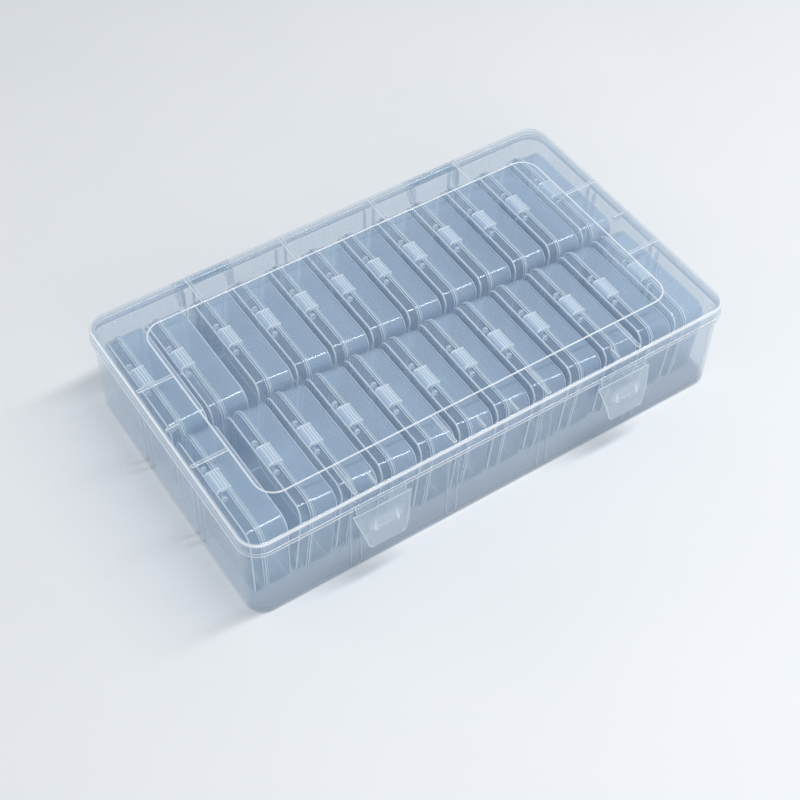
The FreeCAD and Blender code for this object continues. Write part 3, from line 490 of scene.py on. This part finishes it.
def case_body_shell():
    """Deep half with the ribbed clip of its hinge, which hooks over the cover's bar."""
    shell = half_case(1, BODY_SIDE, 0)
    under, cap = CASE_HEIGHT / 2 + CLIP_LIP_GAP, CASE_HINGE_LEVEL + CASE_BORE + CLIP_CAP
    nose = -CASE_HINGE_INSET - CASE_BORE - CLIP_NOSE
    open_angle = math.degrees(math.asin((CASE_HINGE_LEVEL - under) / CASE_BORE))
    bore = disc((-CASE_HINGE_INSET, CASE_HINGE_LEVEL), CASE_BORE, 180 + open_angle, -open_angle, 14)
    ribs = np.linspace(LIP_THICKNESS - 0.5, -CASE_HINGE_INSET + 0.9, CLIP_RIB_POINTS)
    crest = 0.5 + 0.5 * np.cos(np.linspace(0, 6 * math.pi, CLIP_RIB_POINTS))
    outline = np.vstack([
        [[nose, under]],
        bore,
        [[0, under], [0, under - 1], [LIP_THICKNESS, under - 1], [LIP_THICKNESS, cap - 0.4]],
        np.stack([ribs, cap - 2 * CLIP_RIB * (1 - crest)], 1),
        [[-CASE_HINGE_INSET, cap - 0.05], [nose + 0.35, cap - 0.45], [nose, cap - 0.95]],
    ])
    # Frost on the clip, with a painted highlight on the rib crests
    shine = np.full(len(outline), 0.15)
    shine[-3 - CLIP_RIB_POINTS:-3] += 0.5 * crest
    prism(shell, outline, -CLIP_LENGTH / 2, CLIP_LENGTH / 2, 1, bevel=0.12, glow=0.5, frost=shine)
    top = cap + CLIP_END_RAISE
    for side in (-1, 1):
        bar = np.vstack([
            [[nose + 0.3, under]],
            bore,
            [[0, under], [0, under - 1], [LIP_THICKNESS, under - 1], [LIP_THICKNESS, top - 0.4]],
            [[LIP_THICKNESS - 0.4, top], [-CASE_HINGE_INSET, top], [nose + 0.3, cap - 0.8]],
        ])
        low, high = sorted((side * CLIP_LENGTH / 2, side * (CLIP_LENGTH / 2 + CLIP_END_BAR)))
        prism(shell, bar, low, high, 1, bevel=0.25, glow=0.9, frost=0.45)
    return shell


def case_cover_shell():
    """Shallow half with two round-topped ears and the bar between them."""
    shell = half_case(-1, COVER_SIDE, PARTING_GAP)
    middle = (-CASE_HINGE_INSET, CASE_HINGE_LEVEL)
    foot = CASE_HEIGHT / 2 - LIP_REACH - CASE_WALL / 2
    ear = np.vstack([
        disc(middle, EAR_RADIUS, 0, 180, 14),
        [[middle[0] - EAR_RADIUS, foot], [middle[0] + EAR_RADIUS, foot]],
    ])
    for side in (-1, 1):
        low, high = side * EAR_STATION - EAR_THICKNESS / 2, side * EAR_STATION + EAR_THICKNESS / 2
        prism(shell, ear, low, high, 1, bevel=0.3, glow=1.0, frost=0.3)
    bar = disc(middle, CASE_BAR, count=16)
    prism(shell, bar, -EAR_STATION, EAR_STATION, 1, bevel=0.2, glow=0.5, frost=0.15)
    return shell


def case_place(row, number):
    """Function that turns and moves points of a case to its place, read from the box of its body's solid:
    the right side and the lowest point of a leaning case lie where its rounded corners reach."""
    lean = math.radians(0 if number <= UPRIGHT[row] else LEAN[row])
    cos, sin = math.cos(lean), math.sin(lean)
    shell_half = CASE_HEIGHT / 2 - LIP_REACH
    trail = (BODY_SIDE - CASE_ROUND) * cos + (shell_half - CASE_ROUND) * sin + CASE_ROUND
    lip_drop = CASE_HEIGHT / 2 * cos + LIP_THICKNESS * sin
    shell_drop = (shell_half - CASE_ROUND) * cos + (BODY_SIDE - CASE_ROUND) * sin + CASE_ROUND
    low, high = node_box(f"case_{row}_{number:02d}_body")
    origin = np.array([high[0] - trail, (low[1] + high[1]) / 2, low[2] + max(lip_drop, shell_drop)])
    turn = np.array([[cos, 0, sin], [0, 1, 0], [-sin, 0, cos]])
    return lambda points: points @ turn.T + origin


class Value:
    """A shader socket on which Python arithmetic adds Math nodes."""

    def __init__(self, tree, socket):
        self.tree, self.socket = tree, socket

    def math(self, operation, *terms, clamp=False):
        node = self.tree.nodes.new("ShaderNodeMath")
        node.operation, node.use_clamp = operation, clamp
        for slot, term in zip(node.inputs, terms):
            if isinstance(term, Value):
                self.tree.links.new(term.socket, slot)
            else:
                slot.default_value = term
        return Value(self.tree, node.outputs[0])

    def __add__(self, other):
        return self.math("ADD", self, other)

    def __mul__(self, other):
        return self.math("MULTIPLY", self, other)

    def __sub__(self, other):
        return self.math("SUBTRACT", self, other)

    def __rsub__(self, other):
        return self.math("SUBTRACT", other, self)

    def __pow__(self, other):
        return self.math("POWER", self, other)

    def clamped(self):
        return self.math("ADD", self, 0.0, clamp=True)

    __radd__, __rmul__ = __add__, __mul__


class Finish:
    """A material and its node tree."""

    def __init__(self, name):
        self.material = bpy.data.materials.new(name)
        self.material.use_nodes = True
        self.tree = self.material.node_tree
        self.tree.nodes.clear()

    def node(self, kind, settings=None, inputs=None, output=0):
        """Node of a kind: its settings first, then values or links for its inputs; gives one output."""
        node = self.tree.nodes.new(kind)
        for name, setting in (settings or {}).items():
            setattr(node, name, setting)
        for name, value in (inputs or {}).items():
            if isinstance(value, Value):
                self.tree.links.new(value.socket, node.inputs[name])
            else:
                node.inputs[name].default_value = value
        return Value(self.tree, node.outputs[output]) if node.outputs else node

    def noise(self, place, scale, detail=3.0, stretch=(1, 1, 1)):
        """Noise from 0 to 1 on the piece's own coordinates, in waves per metre."""
        where = self.node("ShaderNodeMapping", None, {"Vector": place, "Scale": stretch})
        return self.node("ShaderNodeTexNoise", None, {"Vector": where, "Scale": scale, "Detail": detail})

    def blend(self, amount, first, second):
        """Colour between two colours."""
        return self.node(
            "ShaderNodeMix", {"data_type": "RGBA"}, {0: amount, 6: first, 7: second}, output=2
        )

    def show(self, shader):
        self.node("ShaderNodeOutputMaterial", None, {"Surface": shader})
        return self.material


def clear_plastic(name, tint, milk, painted_shade_colour, haze, skin, edge, rough, foot=0.0):
    """Clear moulded plastic. Light passes with a little tint. A thin milky haze scatters some of it: more in
    walls that face up or along the box (skin) and at a low angle. The edge weight adds haze and whitens it:
    frost on frosted parts and a painted highlight on moulded edges. The haze's colour is painted shade: it
    goes from the milk colour at the top of the box to the darker painted shade colour at its foot, and the
    foot value adds more haze there on the tray's floor as painted shade. The surface mirrors its surroundings
    as plastic does."""
    finish = Finish(name)
    place = finish.node("ShaderNodeTexCoord", output=3)
    level = finish.node("ShaderNodeSeparateXYZ", None, {0: place}, output=2)
    normal = finish.node("ShaderNodeTexCoord", output=1)
    sideways = finish.node("ShaderNodeSeparateXYZ", None, {0: normal})
    upwards = finish.node("ShaderNodeSeparateXYZ", None, {0: normal}, output=2)
    flow = finish.noise(place, 22, 2, (1, 0.5, 1.6))
    grain = finish.noise(place, 420, 1)
    rim = finish.node("ShaderNodeAttribute", {"attribute_name": "edge"}, output=2)
    facing = finish.node("ShaderNodeLayerWeight", None, {"Blend": 0.5}, output=1)
    # Share of painted shade: none at the shade level near the top of the box, full at its foot, standing in
    # for the shade the packed cases would cast
    painted_shade_share = (1.0 - (level - FOOT_LEVEL) * (1 / (SHADE_LEVEL - FOOT_LEVEL))).clamped()
    wall = 1.0 - sideways * sideways
    # Painted shade on the tray's floor: extra haze on level faces at the very foot of the box, for the darker
    # floor under the box
    painted_floor_shade = painted_shade_share ** 20 * upwards * upwards
    # Coverage of the haze; the edge weight adds frost and the painted edge highlight
    solid = (haze + skin * wall + foot * painted_floor_shade) * (0.7 + 0.6 * flow) + edge * rim + 0.2 * facing ** 3
    # Haze colour darkened by painted shade towards the foot of the box
    shade = finish.blend(painted_shade_share, (*milk, 1), (*painted_shade_colour, 1))
    # Whitened by the edge weight: frost, and the painted highlight on moulded edges
    shade = finish.blend((1.6 * rim + 0.03 * grain).clamped(), shade, FROST_AND_HIGHLIGHT_WHITE)
    swell = flow + 0.02 * grain
    ripple = finish.node("ShaderNodeBump", None, {"Strength": 0.05, "Distance": 0.0004, "Height": swell})
    body = finish.node("ShaderNodeBsdfPrincipled", None, {
        "Base Color": shade,
        "Roughness": rough + 0.12 * grain,
        "Normal": ripple,
        "IOR": PLASTIC_IOR,
    })
    through = finish.node("ShaderNodeBsdfTransparent", None, {"Color": (*tint, 1)})
    gloss = finish.node("ShaderNodeBsdfAnisotropic", None, {
        "Color": MIRROR_TINT,
        "Roughness": rough + 0.06 * grain,
        "Normal": ripple,
    })
    hazy = finish.node("ShaderNodeMixShader", None, {0: solid.clamped(), 1: through, 2: body})
    mirror = 0.035 + 0.9 * facing ** 5
    return finish.show(finish.node("ShaderNodeMixShader", None, {0: mirror, 1: hazy, 2: gloss}))


def floor_finish():
    """Pale matt table top with a faint grain."""
    finish = Finish("pale_floor")
    place = finish.node("ShaderNodeTexCoord", output=3)
    grain = finish.noise(place, 9, 4)
    shade = finish.blend(grain, (0.80, 0.81, 0.82, 1), (0.84, 0.845, 0.85, 1))
    return finish.show(finish.node("ShaderNodeBsdfPrincipled", None, {
        "Base Color": shade,
        "Roughness": 0.55 + 0.1 * grain,
    }))


def add_piece(shell, name, body, finish, node, place=None):
    """Piece of the shell that rides on a body, wears a finish and stands for a solid."""
    piece = bpy.data.objects.new(name, shell.mesh(name, place))
    bpy.context.scene.collection.objects.link(piece)
    piece.data.materials.append(finish)
    even = piece.modifiers.new("even_normals", "WEIGHTED_NORMAL")
    even.keep_sharp = True
    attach(piece, body)
    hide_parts(node)
    return piece


# Finishes of the pieces
# Each finish's second colour is the painted shade its haze takes at the foot of the box; the tray's foot
# value adds painted shade on its floor
tray_finish = clear_plastic(
    "clear_tray", tint=(0.935, 0.955, 0.972), milk=(0.68, 0.79, 0.90), painted_shade_colour=(0.60, 0.71, 0.82),
    haze=0.035, skin=0.015, edge=0.9, rough=0.08, foot=0.18,
)
lid_finish = clear_plastic(
    "clear_lid", tint=(0.95, 0.967, 0.98), milk=(0.72, 0.81, 0.90), painted_shade_colour=(0.72, 0.81, 0.90),
    haze=0.03, skin=0.01, edge=0.9, rough=0.07,
)
latch_finish = clear_plastic(
    "milky_latch", tint=(0.90, 0.93, 0.95), milk=(0.76, 0.83, 0.89), painted_shade_colour=(0.70, 0.78, 0.85),
    haze=0.18, skin=0.05, edge=0.8, rough=0.13,
)
body_finish = clear_plastic(
    "clear_case", tint=(0.875, 0.91, 0.94), milk=(0.70, 0.83, 0.96), painted_shade_colour=(0.32, 0.42, 0.53),
    haze=0.04, skin=0.22, edge=0.95, rough=0.08,
)
cover_finish = clear_plastic(
    "clear_case_lid", tint=(0.86, 0.90, 0.93), milk=(0.60, 0.73, 0.86), painted_shade_colour=(0.30, 0.39, 0.50),
    haze=0.04, skin=0.07, edge=0.95, rough=0.08,
)

# Pieces of the object
add_piece(tray_shell(), "clear_tray", "base", tray_finish, "base_tray")
add_piece(lid_shell(), "clear_lid", "lid", lid_finish, "lid")
for side, sign in (("left", -1), ("right", 1)):
    flap = latch_shell(sign * LATCH_STATION)
    add_piece(flap, f"flap_{side}", f"latch_{side}", latch_finish, f"latch_{side}")
halves = {
    "body": (case_body_shell(), "case_plastic", body_finish),
    "lid": (case_cover_shell(), "case_lid_plastic", cover_finish),
}
for row in ("front", "back"):
    for number in range(1, ROW_COUNT + 1):
        place = case_place(row, number)
        for half, (shell, slot, finish) in halves.items():
            node = f"case_{row}_{number:02d}_{half}"
            piece = add_piece(shell, f"clear_{node}", "base", finish, node, place)
            piece.visible_shadow = False


def add_floor():
    """Wide flat floor just under the tray."""
    data = bpy.data.meshes.new("floor")
    reach = FLOOR_REACH
    corners = [(-reach, -reach, 0), (reach, -reach, 0), (reach, reach, 0), (-reach, reach, 0)]
    data.from_pydata(corners, [], [(0, 1, 2, 3)])
    floor = bpy.data.objects.new("floor", data)
    bpy.context.scene.collection.objects.link(floor)
    data.materials.append(floor_finish())


def look_along(back, roll=0.0):
    """Rotation whose Z axis is back, the way from the target to the eye, rolled about it."""
    back = np.array(back) / np.linalg.norm(back)
    right = np.cross([0, 0, 1], back)
    right /= np.linalg.norm(right)
    up = np.cross(back, right)
    c, s = math.cos(roll), math.sin(roll)
    return Matrix(np.stack([c * right + s * up, c * up - s * right, back], 1).tolist()).to_4x4()


def add_softbox(name, place, target, size, power):
    """Rectangular area lamp, size wide and deep, that faces a target."""
    lamp = bpy.data.lights.new(name, "AREA")
    lamp.shape, lamp.energy = "RECTANGLE", power
    lamp.size, lamp.size_y = size
    holder = bpy.data.objects.new(name, lamp)
    holder.matrix_world = Matrix.Translation(place) @ look_along(np.array(place) - np.array(target))
    bpy.context.scene.collection.objects.link(holder)


def add_camera():
    """Camera that looks down its bearing and height: back is the point on the unit sphere at those angles."""
    bearing, height, roll = (math.radians(angle) for angle in (VIEW_BEARING, VIEW_HEIGHT, VIEW_ROLL))
    data = bpy.data.cameras.new("camera")
    data.sensor_width = SENSOR_WIDTH
    data.lens = VIEW_FOCAL * SENSOR_WIDTH / VIEW_FRAME
    back = (math.sin(bearing) * math.cos(height), -math.cos(bearing) * math.cos(height), math.sin(height))
    camera = bpy.data.objects.new("camera", data)
    camera.matrix_world = Matrix.Translation(VIEW_PLACE) @ look_along(back, roll)
    bpy.context.scene.collection.objects.link(camera)
    bpy.context.scene.camera = camera


def add_world():
    """Even pale surroundings."""
    world = bpy.data.worlds.new("studio")
    world.use_nodes = True
    background = world.node_tree.nodes["Background"]
    background.inputs["Color"].default_value = WORLD_COLOUR
    background.inputs["Strength"].default_value = WORLD_STRENGTH
    bpy.context.scene.world = world


add_floor()
add_softbox("key", (0.48, -0.20, 1.10), (0.48, -0.15, 0), (1.1, 0.14), 9)
add_softbox("front", (-0.45, -1.05, 0.75), (0, 0, 0.03), (0.9, 0.6), 3.5)
add_softbox("back_left", (-0.8, 0.7, 0.45), (0, 0, 0.03), (0.4, 0.4), 1.5)
add_camera()
add_world()
scene = bpy.context.scene
scene.view_settings.view_transform = "Standard"
scene.cycles.transparent_max_bounces = 64
